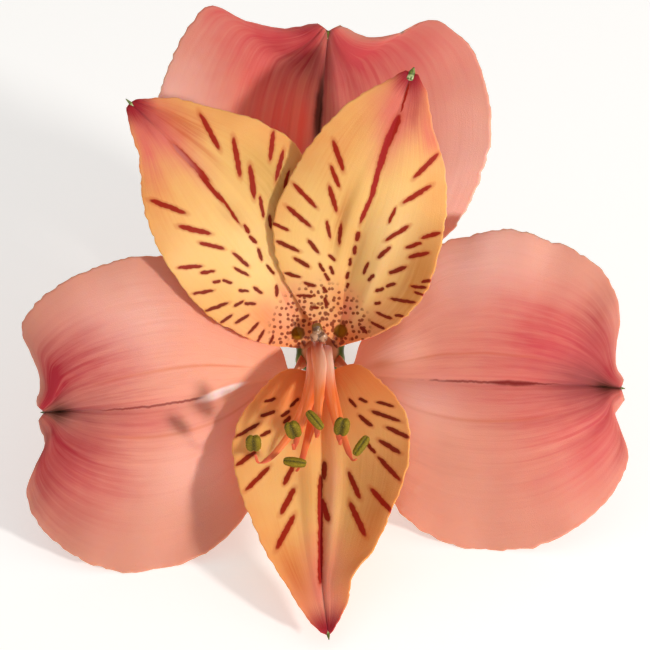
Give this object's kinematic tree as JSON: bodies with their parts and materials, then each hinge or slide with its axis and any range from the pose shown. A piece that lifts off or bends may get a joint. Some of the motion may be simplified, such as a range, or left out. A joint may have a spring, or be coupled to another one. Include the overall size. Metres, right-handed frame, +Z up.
{
  "type": "alstroemeria flower",
  "caption": "Single alstroemeria bloom with ribbed ovary and short cut stalk, lying face up at a slant: broad notched outer petals, streaked pointed inner petals, arched stamens.",
  "frame": {"origin": "on the surface that the flower lies on, below the middle of its bounding box", "axes": "+Z up; +Y from the bloom along the stalk to its cut end; +X to the right of someone who looks into the bloom. The bloom faces -Y and upwards, 38 degrees above the horizontal."},
  "size_m": [0.0734, 0.1074, 0.0508],
  "materials": {
    "outer_petal": "satin",
    "inner_petal": "satin",
    "filament": "satin",
    "anther": "matte",
    "pistil": "satin",
    "stalk": "satin"
  },
  "bodies": {
    "root": {"outer_petal_left": "outer_petal", "outer_petal_right": "outer_petal", "outer_petal_top": "outer_petal", "inner_petal_upper_left": "inner_petal", "inner_petal_upper_right": "inner_petal", "inner_petal_lower": "inner_petal", "filament_1": "filament", "filament_2": "filament", "filament_3": "filament", "filament_4": "filament", "filament_5": "filament", "filament_6": "filament", "anther_1": "anther", "anther_2": "anther", "anther_3": "anther", "anther_4": "anther", "anther_5": "anther", "anther_6": "anther", "pistil": "pistil", "stalk_with_ovary": "stalk"}
  },
  "joints": []
}
